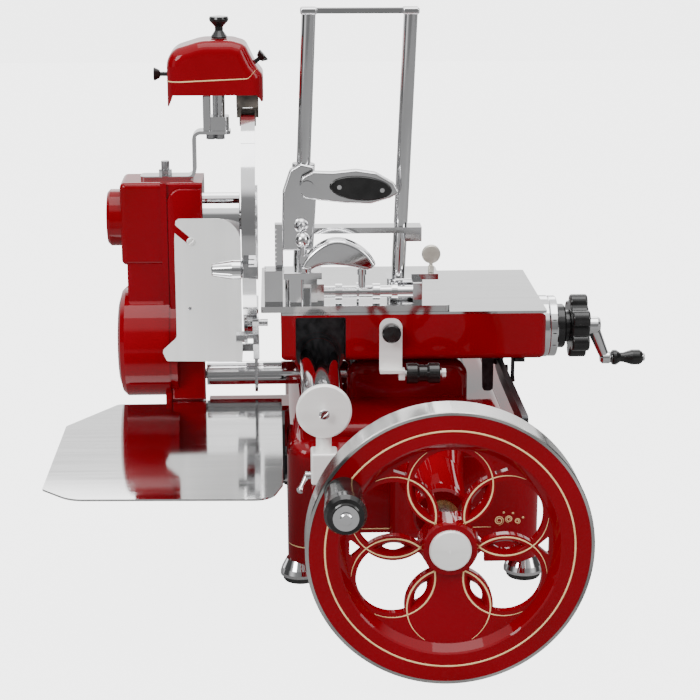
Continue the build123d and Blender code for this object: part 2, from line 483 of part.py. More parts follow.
# ---- carriage -----------------------------------------------------------------------
def carriage_nodes():
    wall = 5.0
    box = rounded(block(CAR_X0, CAR_X1, CAR_Y0, CAR_Y1, CAR_Z0, CAR_Z1), 9,
                  where=lambda e: e.center().Z < CAR_Z0 + 1 or e.center().X > CAR_X1 - 1)
    box += rod(34, (RAIL_X, BOSS_Y0, RAIL_Z), (RAIL_X, CAR_Y1, RAIL_Z))
    box -= block(RAIL_X - 40, RAIL_X + 40, CAR_Y0 - 1, CAR_Y1 + 1, 220, 243)
    # mouth in the front wall, where the rail goes in
    box -= rounded(block(RAIL_X - 31, RAIL_X + 35, CAR_Y0 - 1, BOSS_Y0, CAR_Z0 - 1, CAR_Z1 - 3), 3, Axis.Y,
                   where=lambda e: e.center().Z > CAR_Z0)
    box -= block(RAIL_X + 40, CAR_X1 - 10, CAR_Y0 + wall, CAR_Y1 - wall, CAR_Z0 + wall, CAR_Z1 - wall)
    box -= block(SLOT_X0, SLOT_X1, SCREW_Y - 14, SCREW_Y + 14, CAR_Z1 - wall - 1, CAR_Z1 + 1)
    box -= rod(7 + RUN, (RAIL_X + 26, SCREW_Y, SCREW_Z), (CAR_X1 + 1, SCREW_Y, SCREW_Z))
    box -= rod(30, (RAIL_X, CAR_Y0 - 1, RAIL_Z), (RAIL_X, CAR_Y1 + 1, RAIL_Z))
    bushes = [tube(30, RAIL_R + RUN, (RAIL_X, y, RAIL_Z), (RAIL_X, y + 40, RAIL_Z))
              for y in (BOSS_Y0, CAR_Y1 - 40)]
    top = rounded(block(CAR_X0, CAR_X1, CAR_Y0, CAR_Y1, CAR_Z1, CAR_Z1 + 3.4), 3, Axis.Z)
    top -= block(SLOT_X0, SLOT_X1, SCREW_Y - 14, SCREW_Y + 14, CAR_Z1 - 1, CAR_Z1 + 5)
    collar = turned([(8, 0), (42, 0), (42, 12), (40, 15), (8, 15)], (CAR_X1, SCREW_Y, SCREW_Z), (1, 0, 0))
    ring = turned([(8, 0), (30, 0), (30, 20), (28, 22), (22, 23), (22, 28), (12, 28), (12, 51), (8, 51)],
                  (CAR_X1 + 15, SCREW_Y, SCREW_Z), (1, 0, 0))
    bracket = plate_xz([(169, 262), (199, 262), (199, 328), (169, 328)], CAR_Y0 - 5, CAR_Y0,
                       [2, 2, 12, 12])
    bracket += block(169, 199, CAR_Y0 - 20, CAR_Y0, 258, 262)
    bracket += rod(3, (184, CAR_Y0 - 4, 312), (184, CAR_Y0 - 18, 312))
    axle = rod(4, (199, CAR_Y0 - 12, 256), (252, CAR_Y0 - 12, 256))
    axle += rounded(block(194, 202, CAR_Y0 - 18, CAR_Y0 - 2, 248, 262), 1.5, Axis.X)
    axle += hexagon(11, (251, CAR_Y0 - 12, 256), (1, 0, 0), 5)
    roller = turned([(4 + RUN, 0), (12.5, 0), (13.5, 1), (13.5, 14), (11, 17), (11, 27), (13.5, 30),
                     (13.5, 43), (12.5, 44), (4 + RUN, 44)], (204, CAR_Y0 - 12, 256), (1, 0, 0))
    knob_at = (184, CAR_Y0 - 5, 312)
    knob = turned([(3 + RUN, 0.3), (8, 0.3), (8, 4), (12.5, 6), (12.5, 15), (10.5, 17), (0, 17.5),
                   (0, 13.2), (3 + RUN, 13.2)], knob_at, (0, -1, 0))
    hanger = plate_xz([(312, 214), (326, 214), (326, CAR_Z0), (310, CAR_Z0)], -66, -60, [5, 5, 0, 0])
    link = rod(7, (338, -22, 240), (338, -22, CAR_Z0))
    link += plate_yz([(-290, 228), (-290, 248), (-10, 248), (-10, 232), (-60, 228)], 335, 343, 6)
    link += rod(5, (342, -40, 238), (349, -40, 238))
    stop = rod(2.6, (348, -96, 244), (348, -96, CAR_Z0)) + Pos(348, -96, 244) * Sphere(2.6)
    stop += rod(2.6, (348, -96, 244), (348, -104, 239))
    stop += rounded(block(350, 363, -104, -92, 264.5, CAR_Z0), 1.5, Axis.X)
    return {
        "carriage_box": box, "rail_bushes": bushes, "carriage_top": top, "end_collar": collar,
        "dial_ring": ring, "front_bracket": bracket + axle, "guide_roller": roller,
        "bracket_knob": knob, "drive_link": [hanger, link, stop],
    }


def feed_nodes():
    knob_x = CAR_X1 + 15 + 28 + 1
    star = Sketch() + Circle(34)
    for index in range(6):
        x, y = polar(32, 60 * index)
        star += Pos(x, y) * Circle(12)
    star = extrude(star, 24)
    star = rounded(star, 3, where=lambda e: abs(e.center().Z - 12) > 11)
    star = put(star, (knob_x, SCREW_Y, SCREW_Z), (1, 0, 0))
    star -= rod(12 + RUN, (knob_x - 1, SCREW_Y, SCREW_Z), (knob_x + 30, SCREW_Y, SCREW_Z))
    # lead screw with its crank: hub, dropped arm and the grip's spindle
    hub_x = knob_x + 25
    grip_z, grip_x = SCREW_Z - 46, hub_x + 36
    screw = rod(7, (RAIL_X + 28, SCREW_Y, SCREW_Z), (hub_x + 3, SCREW_Y, SCREW_Z))
    crank = turned([(7, 0), (11, 0), (12, 3), (12, 14), (10, 18), (0, 20), (0, 3), (7, 3)],
                   (hub_x, SCREW_Y, SCREW_Z), (1, 0, 0))
    crank += turned([(0, 0), (9, 0), (6.5, 48), (0, 48)], (hub_x + 8, SCREW_Y, SCREW_Z - 2),
                    (grip_x - hub_x - 17, 0, grip_z - SCREW_Z + 2))
    crank += turned([(0, 0), (6, 0), (8.5, 3), (8.5, 12), (7, 15), (0, 15)],
                    (grip_x - 16, SCREW_Y, grip_z), (1, 0, 0))
    crank += rod(3, (grip_x - 2, SCREW_Y, grip_z), (grip_x + 44, SCREW_Y, grip_z))
    crank += turned([(0, 0), (6, 0), (5, 2.4), (0, 3)], (grip_x + 43.4, SCREW_Y, grip_z), (1, 0, 0))
    grip = turned([(3 + RUN, 0), (9, 0), (10.5, 2), (10.5, 6), (6.5, 12), (6.8, 16), (10.5, 28),
                   (10.5, 38), (8, 42), (3 + RUN, 42.4)], (grip_x, SCREW_Y, grip_z), (1, 0, 0))
    return {"thickness_knob": star, "feed_crank": screw + crank, "crank_grip": grip}


# ---- meat table, mast and press -----------------------------------------------------
def on_mast(offset_x, y, z):
    """Point at a height on the leaning line of the left column, moved right by an offset."""
    return (MAST_X + offset_x + math.tan(math.radians(LEAN)) * (z - TABLE_Z), y, z)


def table_nodes():
    top = plate_xy([(TABLE_X0, CAR_Y0), (TABLE_X1, CAR_Y0), (TABLE_X1, 122), (TABLE_X0, 122)],
                   CAR_Z1 + 3.8, TABLE_Z, [3, 6, 6, 3])
    nut = block(NUT_X0, NUT_X0 + 26, SCREW_Y - 12, SCREW_Y + 12, SCREW_Z - 12, CAR_Z1 + 3.8)
    nut -= rod(7 + RUN, (NUT_X0 - 1, SCREW_Y, SCREW_Z), (NUT_X0 + 27, SCREW_Y, SCREW_Z))
    columns = [rod(MAST_R, on_mast(dx, MAST_Y, TABLE_Z + 0.5), on_mast(dx, MAST_Y, MAST_TOP))
               for dx in (0, MAST_PITCH)]
    head = []
    for dx in (0, MAST_PITCH):
        x, y, z = on_mast(dx, MAST_Y, MAST_TOP)
        head.append(rounded(block(x - 11, x + 11, y - 11, y + 11, z, z + 9), 3))
    x, y, z = on_mast(0, MAST_Y, MAST_TOP)
    bar = block(x + 10, x + MAST_PITCH - 10, y - 6, y + 6, z + 1, z + 8)
    top_bar = head[0] + head[1] + bar
    foot = rounded(block(182, 230, MAST_Y - 18, MAST_Y + 18, TABLE_Z, TABLE_Z + 24), 4, Axis.Z)
    foot += rounded(block(46, 84, MAST_Y - 18, MAST_Y + 18, TABLE_Z, TABLE_Z + 24), 4, Axis.Z)
    for dx in (0, MAST_PITCH):
        foot -= rod(MAST_R, on_mast(dx, MAST_Y, TABLE_Z - 5), on_mast(dx, MAST_Y, TABLE_Z + 40))
    base = block(44, 94, -104, -64, 380, 389)
    base += rounded(block(50, 70, -98, -80, TABLE_Z, 381), 3, Axis.Z)
    base += block(70, 88, -98, -80, 372, 381) + block(80, 88, -98, -80, TABLE_Z, 373)
    base = rounded(base, 1.2, where=lambda e: e.center().Z > 388)
    jaw = block(19, 43, -96, -66, TABLE_Z, 389.6)
    for index in range(3):
        jaw -= rod(2.2, (19, -91 + 10 * index, TABLE_Z + 5), (19, -91 + 10 * index, 391))
    spikes = rounded(block(33, 44, -78, -64, 390, 448), 1.5, Axis.Z)
    for index in range(8):
        height = 396 + 6 * index
        spikes -= plate_xz([(31, height), (36, height + 3), (31, height + 5)], -80, -60)
    clamp_rod = rod(8, (96, -84, 358), (214, -84, 358))
    for x, width, radius in ((112, 9, 11), (140, 3, 12.5), (161, 10, 11), (186, 8, 11)):
        clamp_rod += rod(radius, (x, -84, 358), (x + width, -84, 358))
    clamp_rod += block(88, 97, -94, -74, TABLE_Z, 371) + block(214, 226, -94, -58, TABLE_Z, 371)
    clamp_rod += rod(5, (147, -84, 364), (147, -84, 391)) + rod(6.5, (147, -84, 382), (147, -84, 389))
    clamp_rod += block(214, 250, -64, -50, 369, 376.6) + rod(1.5, (241, -52, 376), (241, -52, 383.5))
    base += rod(4, (72, -97, 385), (72, -97, 399.5))
    return {
        "meat_table": top, "feed_nut": nut, "mast": columns + [top_bar, foot],
        "clamp_base": [base, clamp_rod], "clamp_jaw": [jaw, spikes],
    }


def press_block():
    """Cast block on the left column, with an arm across to the right one."""
    sleeve = rod(15, on_mast(0, MAST_Y, 414), on_mast(0, MAST_Y, 522))
    body = plate_xz([(42, 408), (44, 486), (54, 516), (68, 524), (86, 520), (88, 476), (84, 408)],
                    MAST_Y - 17, MAST_Y - 2, [2, 6, 8, 6, 4, 4, 2])
    body = rounded(body, 3, where=lambda e: e.center().Y < MAST_Y - 16)
    arm = block(82, 226, MAST_Y - 14, MAST_Y + 14, 430, 438)
    arm += block(206, 228, MAST_Y - 15, MAST_Y + 15, 419, 438)
    arm += block(50, 84, MAST_Y - 14, MAST_Y + 14, 419, 438)
    press = body + sleeve + arm
    press -= rod(MAST_R + RUN, on_mast(0, MAST_Y, 380), on_mast(0, MAST_Y, 560))
    press -= rod(MAST_R + RUN, on_mast(MAST_PITCH, MAST_Y, 400), on_mast(MAST_PITCH, MAST_Y, 470))
    return press + rod(7, (76, MAST_Y - 19, 495), (76, MAST_Y - 10, 495))


def press_nodes():
    """The block with its pin, and the hand lever with a black inlay."""
    press = press_block()
    y0, y1 = MAST_Y - 32, MAST_Y - 20
    frame = plate_xz([(68, 482), (92, 478), (128, 474), (160, 473), (184, 480), (197, 487), (190, 500),
                      (166, 514), (140, 518), (110, 515), (84, 516), (68, 508)], y0, y1,
                     [8, 4, 4, 8, 5, 4, 6, 8, 6, 5, 4, 8])
    frame = rounded(frame, 2.5, where=lambda e: e.center().Y < y0 + 0.1)
    frame -= rod(7 + RUN, (76, y0 - 1, 495), (76, y1 + 1, 495))
    pin = rod(7, (76, y0 - 2, 495), (76, MAST_Y - 18, 495))
    pin += rod(9.5, (76, y0 - 4, 495), (76, y0 - 1.2, 495))
    inlay = extrude(Ellipse(41, 16), 4)
    inlay = rounded(inlay, 2, where=lambda e: e.center().Z > 3.9)
    face = Plane(origin=(146, y0, 494), x_dir=(math.cos(0.08), 0, -math.sin(0.08)), z_dir=(0, -1, 0))
    grip = face.location * inlay
    for x, z in ((118, 496.2), (174, 491.8)):
        rivet = rod(3, (x, y0 + 1, z), (x, y0 - 4.6, z))
        frame += rivet
        grip -= rivet
    return {"press_block": press + pin, "press_lever": frame, "lever_grip": grip}


def clamp_lever_nodes():
    """Curved hand lever on a ball-ended stem, and the thumb disc behind the table's edge."""
    upper = [(66, 396), (74, 410), (92, 426), (112, 433), (134, 428), (156, 412), (164, 400)]
    lower = [(158, 393), (140, 395), (112, 399), (92, 398), (80, 393)]
    line = Spline([(x, 0, z) for x, z in upper])
    back = Spline([(x, 0, z) for x, z in upper[-1:] + lower])
    end = Line(back @ 1, line @ 0)
    paddle = extrude(make_face([line, back, end]), amount=26, dir=(0, 1, 0)).moved(Pos(0, -110, 0))
    paddle = rounded(paddle, 5, where=lambda e: abs(e.center().Y + 97) > 12.5)
    paddle += rod(9, (72, -97, 389.4), (72, -97, 402))
    paddle -= rod(4 + RUN, (72, -97, 385), (72, -97, 400))
    ball = Pos(69, -104, 433) * Sphere(10)
    stem = rod(3.5, (69, -104, 410), (69, -104, 426)) + block(65, 76, -108, -100, 402, 412)
    disc = turned([(0, 0), (11, 0), (12.5, 2), (12.5, 6), (11, 8), (0, 8)], (241, -56, 401), (0, 1, 0))
    disc += rod(2.5, (241, -52, 382), (241, -52, 392)) + rod(4, (241, -52, 377), (241, -52, 385))
    disc -= rod(1.5 + RUN, (241, -52, 376), (241, -52, 384))
    return {"clamp_lever": paddle + stem + ball, "thumb_disc": disc}


# ---- sharpener ----------------------------------------------------------------------
def hood_shell():
    """Red hood: a sloping crown with a shoulder to the right, hollow, its end walls hanging lower."""
    low, left, right = 612.0, -105.0, 20.0
    outer = plate_xz([(left, 597), (left + 2, 597), (left + 7, low), (right - 8, low),
                      (right - 2.4, 603), (right, 603), (right, 638), (9, 652), (-3, 677),
                      (-20, 682), (-60, 682), (left, 668)],
                     -42, 42, [0, 0, 0, 0, 0, 0, 8, 12, 12, 30, 60, 26])
    outer = rounded(outer, 16, where=lambda e: abs(abs(e.center().Y) - 42) < 0.1
                    and e.center().Z > 640 and e.center().X < 8)
    inner = plate_xz([(left + 4, 590), (right - 4, 590), (right - 4, 634), (4, 648), (-7, 672),
                      (-22, 677), (-60, 677), (left + 4, 663)],
                     -37, 37, [0, 0, 5, 8, 8, 26, 56, 22])
    inner = rounded(inner, 12, where=lambda e: abs(abs(e.center().Y) - 37) < 0.1
                    and e.center().Z > 640 and e.center().X < 2)
    shell = outer - inner
    boss = rod(13, (-37, 0, 630), (-37, 0, 678))
    boss += block(-103, 14, -9, 9, 630, 641)
    shell += boss
    shell -= rod(6 + RUN, (-37, 0, 600), (-37, 0, 660))
    for at, way in ((LEFT_BUTTON, LEFT_WAY), (RIGHT_BUTTON, RIGHT_WAY)):
        inner_end = Vector(*at) - Vector(*way) * 20
        outer_end = Vector(*at) + Vector(*way) * 20
        shell -= rod(2.9 + RUN, tuple(inner_end), tuple(outer_end))
    return shell


def sharpener_nodes():
    hood = hood_shell()
    knob = turned([(0, 0.4), (10, 0.4), (11, 2), (5.5, 10), (5.5, 15), (12, 22), (13, 25), (12, 28),
                   (0, 29.5)], (-37, 0, 682), (0, 0, 1))
    foot = STRAP_HIGH + STRAP_THICK
    post = rod(6, (-37, 0, foot), (-37, 0, 652)) + rod(2.5, (-45, 0, foot), (-45, 0, 607))
    post += rounded(block(-52, -26, -13, 13, foot, 580), 5, Axis.Z)
    post += rounded(block(-60, -50, -13, 13, foot, 607), 2, Axis.Z)
    button = [(0, 23), (8, 23), (8.8, 21.5), (5.4, 15), (2.9, 14.2), (2.9, -8), (0, -8)]
    left = turned(button, LEFT_BUTTON, LEFT_WAY)
    right = turned(button, RIGHT_BUTTON, RIGHT_WAY)
    # each stone on its arm, and a bridge between the arms in front of the blade
    stones = []
    for x0, x1, arm in ((5.5, 9.9, 9.9), (-11.9, -7.5, -15.5)):
        stone = rod(17, (x0, 0, 583), (x1, 0, 583))
        stones.append(stone + block(arm, arm + 3.6, -5, 5, 578, 630))
    stones.append(block(-15.5, 13.5, -26, -22.4, 594, 630) + block(9.9, 13.5, -23, -5, 602, 630)
                  + block(-15.5, -11.9, -23, -5, 602, 630))
    return {"sharpener_hood": hood, "sharpener_knob": knob, "sharpener_post": post,
            "left_stone_button": left, "right_stone_button": right, "sharpening_stones": stones}


def gather():
    """Every node of the machine, laid out about the blade centre."""
    nodes = {}
    for part in (base_nodes(), casing_nodes(), flywheel_nodes(), drive_nodes(), guard_nodes(),
                 tray_nodes(), carriage_nodes(), feed_nodes(), table_nodes(), press_nodes(),
                 clamp_lever_nodes(), sharpener_nodes()):
        nodes.update(part)
    nodes["shaft_bearings"] += nodes.pop("wheel_bushes") + nodes.pop("cross_shaft_bushes")
    nodes["sharpener_strap"] = [nodes["sharpener_strap"], nodes.pop("sharpener_post")]
    return nodes


def as_solids(shape):
    pieces = shape if isinstance(shape, list) else [shape]
    return [solid for piece in pieces for solid in piece.solids()]


def build():
    """All nodes moved so that the origin is the bottom centre of the bounding box."""
    nodes = {name: as_solids(shape) for name, shape in gather().items()}
    whole = Compound([solid for solids in nodes.values() for solid in solids]).bounding_box()
    shift = (-(whole.min.X + whole.max.X) / 2, -(whole.min.Y + whole.max.Y) / 2, -whole.min.Z)
    placed = {name: [solid.moved(Pos(*shift)) for solid in solids] for name, solids in nodes.items()}
    return placed, shift, whole


os.makedirs("parts", exist_ok=True)
NODES, SHIFT, WHOLE = build()
for name, solids in NODES.items():
    export_step(solids[0] if len(solids) == 1 else Compound(solids), f"parts/{name}.step")
print(len(NODES), "nodes, shift", [round(v, 3) for v in SHIFT], "size", WHOLE.size)
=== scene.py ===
import math

import bmesh
import bpy
from mathutils import Matrix, Vector


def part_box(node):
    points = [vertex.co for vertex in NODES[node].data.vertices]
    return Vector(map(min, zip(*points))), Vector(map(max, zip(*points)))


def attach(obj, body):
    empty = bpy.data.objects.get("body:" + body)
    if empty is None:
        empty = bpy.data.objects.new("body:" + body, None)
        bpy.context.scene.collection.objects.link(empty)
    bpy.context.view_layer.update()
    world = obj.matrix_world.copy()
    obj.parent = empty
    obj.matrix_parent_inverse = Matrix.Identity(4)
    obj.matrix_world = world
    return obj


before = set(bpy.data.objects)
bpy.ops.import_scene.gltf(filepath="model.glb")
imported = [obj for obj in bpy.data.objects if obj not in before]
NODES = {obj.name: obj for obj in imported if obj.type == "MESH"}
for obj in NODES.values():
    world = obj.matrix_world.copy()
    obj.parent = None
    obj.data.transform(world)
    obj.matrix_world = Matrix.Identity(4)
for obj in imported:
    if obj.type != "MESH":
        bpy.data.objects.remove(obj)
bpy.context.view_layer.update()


def mm(value):
    """Metres from millimetres."""
    return value / 1000.0


def mid(node):
    """Centre of a node's box."""
    low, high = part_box(node)
    return (low + high) / 2


# ---- places on the machine, from the frame -------------------------------------------
BLADE = mid("blade")
WHEEL = mid("flywheel_rim")
WHEEL_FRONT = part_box("flywheel_rim")[0].y
RAIL = mid("guide_rail")
BASE_FRONT = BLADE.y - mm(222.0)          # front face of the base
BASE_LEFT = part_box("foot_caps")[0].x + mm(10.0)     # the caps stand out past the legs
TOWARDS_FRONT = Vector((0, -1, 0))

# ---- camera, light and floor ---------------------------------------------------------
WALL = 1.7               # brightness of the studio wall, as the object is lit by it
SEEN = 2.4               # how many times brighter the wall and floor stand behind the object
STUDIO_CENTRE = (0.0, 0.0, 0.35)
FLOOR_REACH = 6.0        # how far the floor runs each way from the middle
FLOOR_BESIDE = 0.7       # the floor's glow, as the object is lit by it
FLOOR_MIRRORED = 0.16    # the floor's glow in glossy reflections


def add_camera():
    """Long lens in front of the machine and above it, looking down and a little to the right."""
    pitch, yaw = math.radians(15.5), math.radians(2.4)
    data = bpy.data.cameras.new("camera")
    data.lens = 92.57
    data.sensor_width = 36.0
    camera = bpy.data.objects.new("camera", data)
    bpy.context.scene.collection.objects.link(camera)
    camera.location = BLADE + Vector((mm(34.8), mm(-2391.5), mm(478.8)))
    camera.rotation_euler = (math.pi / 2 - pitch, 0.0, -yaw)
    bpy.context.scene.camera = camera


def area_light(name, place, width, power, height=None):
    """Rectangular lamp that faces the machine; it is square unless a height is given."""
    data = bpy.data.lights.new(name, "AREA")
    data.shape = "RECTANGLE"
    data.size = width
    data.size_y = height or width
    data.energy = power
    light = bpy.data.objects.new(name, data)
    light.location = place
    facing = Vector(STUDIO_CENTRE) - Vector(place)
    light.rotation_euler = facing.to_track_quat("-Z", "Y").to_euler()
    bpy.context.scene.collection.objects.link(light)


def add_lights():
    """Four soft lamps: from the left, from the right, from behind and from above."""
    area_light("key", (-1.7, -1.9, 1.9), 1.2, 58.0)
    area_light("fill", (2.3, -1.5, 1.5), 0.9, 26.0, 1.8)
    area_light("back", (0.3, 2.4, 1.8), 2.4, 30.0, 1.2)
    area_light("top", (0.0, -0.2, 2.8), 1.8, 36.0)


def add_world():
    """Studio: bright wall behind and above, dark sides, and a dim front inside a lighter ring."""
    world = bpy.data.worlds.new("studio")
    world.use_nodes = True
    tree = world.node_tree
    place = tree.nodes.new("ShaderNodeTexCoord")
    split = tree.nodes.new("ShaderNodeSeparateXYZ")
    tree.links.new(place.outputs["Generated"], split.inputs["Vector"])

    def ramp(axis, stops):
        """Brightness along one axis of the view direction, given as (coordinate, value) pairs."""
        shift = tree.nodes.new("ShaderNodeMapRange")
        shift.inputs["From Min"].default_value = -1.0
        tree.links.new(split.outputs[axis], shift.inputs["Value"])
        node = tree.nodes.new("ShaderNodeValToRGB")
        node.color_ramp.interpolation = "EASE"
        elements = node.color_ramp.elements
        while len(elements) < len(stops):
            elements.new(0.5)
        for element, (coordinate, value) in zip(elements, stops):
            element.position = (coordinate + 1) / 2
            element.color = (value, value, value, 1.0)
        tree.links.new(shift.outputs["Result"], node.inputs["Fac"])
        return node.outputs["Color"]

    back = ramp("Y", [(-1.0, 0.12), (-0.9, 0.15), (-0.62, 0.5), (-0.2, 0.04), (0.35, 0.05),
                      (0.62, 1.0), (1.0, 1.0)])
    top = ramp("Z", [(-1.0, 0.0), (0.45, 0.0), (0.7, 0.85), (1.0, 1.0)])
    mix = tree.nodes.new("ShaderNodeMix")
    mix.data_type = "RGBA"
    mix.blend_type = "LIGHTEN"
    mix.inputs["Factor"].default_value = 1.0
    tree.links.new(back, mix.inputs["A"])
    tree.links.new(top, mix.inputs["B"])
    seen = tree.nodes.new("ShaderNodeMix")
    seen.data_type = "RGBA"
    seen.inputs["B"].default_value = (SEEN, SEEN, SEEN, 1.0)
    path = tree.nodes.new("ShaderNodeLightPath")
    tree.links.new(path.outputs["Is Camera Ray"], seen.inputs["Factor"])
    tree.links.new(mix.outputs["Result"], seen.inputs["A"])
    background = tree.nodes["Background"]
    tree.links.new(seen.outputs["Result"], background.inputs["Color"])
    background.inputs["Strength"].default_value = WALL
    bpy.context.scene.world = world


def add_floor():
    """Pale floor, lit from within like a light table, but dimmer in reflections."""
    data = bpy.data.meshes.new("floor")
    far = FLOOR_REACH
    corners = [(-far, -far, 0), (far, -far, 0), (far, far, 0), (-far, far, 0)]
    data.from_pydata(corners, [], [(0, 1, 2, 3)])
    floor = bpy.data.objects.new("floor", data)
    bpy.context.scene.collection.objects.link(floor)
    material, tree, shader = shader_material(
        "floor", Base_Color=(0.1, 0.1, 0.1, 1.0), Roughness=0.9, Emission_Color=(1.0, 1.0, 1.0, 1.0))
    path = tree.nodes.new("ShaderNodeLightPath")
    glow = tree.nodes.new("ShaderNodeMapRange")
    glow.inputs["To Min"].default_value = FLOOR_BESIDE
    glow.inputs["To Max"].default_value = WALL * SEEN
    dim = tree.nodes.new("ShaderNodeMapRange")
    dim.inputs["To Max"].default_value = FLOOR_MIRRORED
    tree.links.new(path.outputs["Is Camera Ray"], glow.inputs["Value"])
    tree.links.new(glow.outputs["Result"], dim.inputs["To Min"])
    tree.links.new(path.outputs["Is Glossy Ray"], dim.inputs["Value"])
    tree.links.new(dim.outputs["Result"], shader.inputs["Emission Strength"])
    data.materials.append(material)


# ---- materials -----------------------------------------------------------------------
# noise stays mostly between these two values, so they are stretched over the wanted range
NOISE_LOW, NOISE_HIGH = 0.3, 0.7


def shader_material(name, **inputs):
    """Principled material; an input's name is written with _ in place of its spaces."""
    material = bpy.data.materials.new(name)
    material.use_nodes = True
    shader = material.node_tree.nodes["Principled BSDF"]
    for key, value in inputs.items():
        shader.inputs[key.replace("_", " ")].default_value = value
    return material, material.node_tree, shader


def drawn(x=1.0, y=1.0, z=1.0):
    """Stretch for a noise: a value below 1 draws it out along that axis."""
    return x, y, z


def noise(tree, scale, detail=3.0, stretch=drawn()):
    """Noise in the object's own metres, stretched along an axis where the finish has a grain."""
    place = tree.nodes.new("ShaderNodeTexCoord")
    mapping = tree.nodes.new("ShaderNodeMapping")
    mapping.inputs["Scale"].default_value = stretch
    texture = tree.nodes.new("ShaderNodeTexNoise")
    texture.inputs["Scale"].default_value = scale
    texture.inputs["Detail"].default_value = detail
    tree.links.new(place.outputs["Object"], mapping.inputs["Vector"])
    tree.links.new(mapping.outputs["Vector"], texture.inputs["Vector"])
    return texture.outputs["Fac"]


def span(tree, source, low, high):
    """Map noise onto a range of values."""
    node = tree.nodes.new("ShaderNodeMapRange")
    node.inputs["From Min"].default_value = NOISE_LOW
    node.inputs["From Max"].default_value = NOISE_HIGH
    node.inputs["To Min"].default_value = low
    node.inputs["To Max"].default_value = high
    tree.links.new(source, node.inputs["Value"])
    return node.outputs["Result"]


def tint(tree, source, dark, light):
    """Map noise onto the colours between two tones."""
    node = tree.nodes.new("ShaderNodeValToRGB")
    first, last = node.color_ramp.elements
    first.position, last.position = NOISE_LOW, NOISE_HIGH
    first.color, last.color = (*dark, 1.0), (*light, 1.0)
    tree.links.new(source, node.inputs["Fac"])
    return node.outputs["Color"]


def bump(tree, shader, source, distance, strength, target="Normal"):
    """Surface relief from noise, to a depth in metres."""
    node = tree.nodes.new("ShaderNodeBump")
    node.inputs["Distance"].default_value = distance
    node.inputs["Strength"].default_value = strength
    tree.links.new(source, node.inputs["Height"])
    tree.links.new(node.outputs["Normal"], shader.inputs[target])


def enamel(name, dark, light):
    """Thick glossy enamel: a coat over the colour, with slight orange peel."""
    material, tree, shader = shader_material(name, Coat_Weight=1.0, Coat_Roughness=0.03,
                                             Coat_IOR=1.33, Specular_IOR_Level=0.0)
    tree.links.new(tint(tree, noise(tree, 9.0), dark, light), shader.inputs["Base Color"])
    tree.links.new(span(tree, noise(tree, 30.0), 0.28, 0.4), shader.inputs["Roughness"])
    bump(tree, shader, noise(tree, 260.0, 1.0), mm(0.05), 0.25, "Coat Normal")
    return material


def polished(name, dark, light):
    """Plated or polished metal with faint haze."""
    material, tree, shader = shader_material(name, Metallic=1.0)
    tree.links.new(tint(tree, noise(tree, 14.0), dark, light), shader.inputs["Base Color"])
    tree.links.new(span(tree, noise(tree, 45.0), 0.04, 0.09), shader.inputs["Roughness"])
    bump(tree, shader, noise(tree, 700.0, 1.0), mm(0.02), 0.15)
    return material


def brushed(name, dark, light, stretch, rough=(0.16, 0.3), depth=mm(0.04), metallic=1.0, scale=90.0):
    """Metal with fine parallel scratches along one axis; a satin sheet scatters part of the light."""
    material, tree, shader = shader_material(name, Metallic=metallic)
    grain = noise(tree, scale, 4.0, stretch)
    tree.links.new(tint(tree, grain, dark, light), shader.inputs["Base Color"])
    tree.links.new(span(tree, grain, *rough), shader.inputs["Roughness"])
    bump(tree, shader, grain, depth, 0.3)
    return material


def moulded(name, dark, light, rough, grain=500.0, depth=mm(0.08)):
    """Plastic, rubber, stone or paint with a fine surface grain."""
    material, tree, shader = shader_material(name)
    tree.links.new(tint(tree, noise(tree, 60.0), dark, light), shader.inputs["Base Color"])
    tree.links.new(span(tree, noise(tree, 120.0), *rough), shader.inputs["Roughness"])
    bump(tree, shader, noise(tree, grain, 2.0), depth, 0.15)
    return material


MATERIALS = {
    "red": enamel("red_enamel", (0.17, 0.0, 0.003), (0.215, 0.0, 0.005)),
    "chrome": polished("chrome", (0.76, 0.76, 0.77), (0.86, 0.86, 0.87)),
    "rim": brushed("rim_steel", (0.34, 0.335, 0.33), (0.84, 0.83, 0.81), drawn(y=0.05),
                   (0.08, 0.2), scale=11.0),
    "mirror": brushed("mirror_steel", (0.66, 0.66, 0.66), (0.74, 0.74, 0.74), drawn(x=0.04),
                      (0.05, 0.1), mm(0.01)),
    "sheet": brushed("sheet_steel", (0.92, 0.92, 0.91), (0.98, 0.98, 0.97), drawn(z=0.04),
                     (0.3, 0.42), metallic=0.25),
    "satin": brushed("satin_chrome", (0.92, 0.91, 0.89), (0.98, 0.97, 0.95), drawn(x=0.1),
                     (0.3, 0.42), metallic=0.3),
    "nickel": brushed("dull_nickel", (0.5, 0.47, 0.41), (0.64, 0.61, 0.54), drawn(),
                      (0.3, 0.4), metallic=0.6),
    "steel": brushed("steel", (0.42, 0.42, 0.43), (0.56, 0.56, 0.57), drawn(y=0.08)),
    # dark steel for the chain and brackets, and painted shade on the rail bushes and in the carriage's
    # opening
    "dark": brushed("dark_steel", (0.03, 0.03, 0.032), (0.08, 0.08, 0.085), drawn(y=0.1),
                    (0.3, 0.45)),
    "bronze": brushed("bronze", (0.5, 0.32, 0.14), (0.65, 0.44, 0.2), drawn()),
    "black": moulded("black_plastic", (0.006, 0.006, 0.006), (0.014, 0.014, 0.014), (0.12, 0.2),
                     300.0, mm(0.02)),
    "rubber": moulded("rubber", (0.012, 0.012, 0.012), (0.03, 0.03, 0.03), (0.6, 0.8)),
    "stone": moulded("grinding_stone", (0.05, 0.045, 0.04), (0.16, 0.14, 0.12), (0.85, 0.95),
                     900.0, mm(0.4)),
    "gold": moulded("gold_line", (0.78, 0.5, 0.22), (0.9, 0.64, 0.33), (0.3, 0.42)),
}
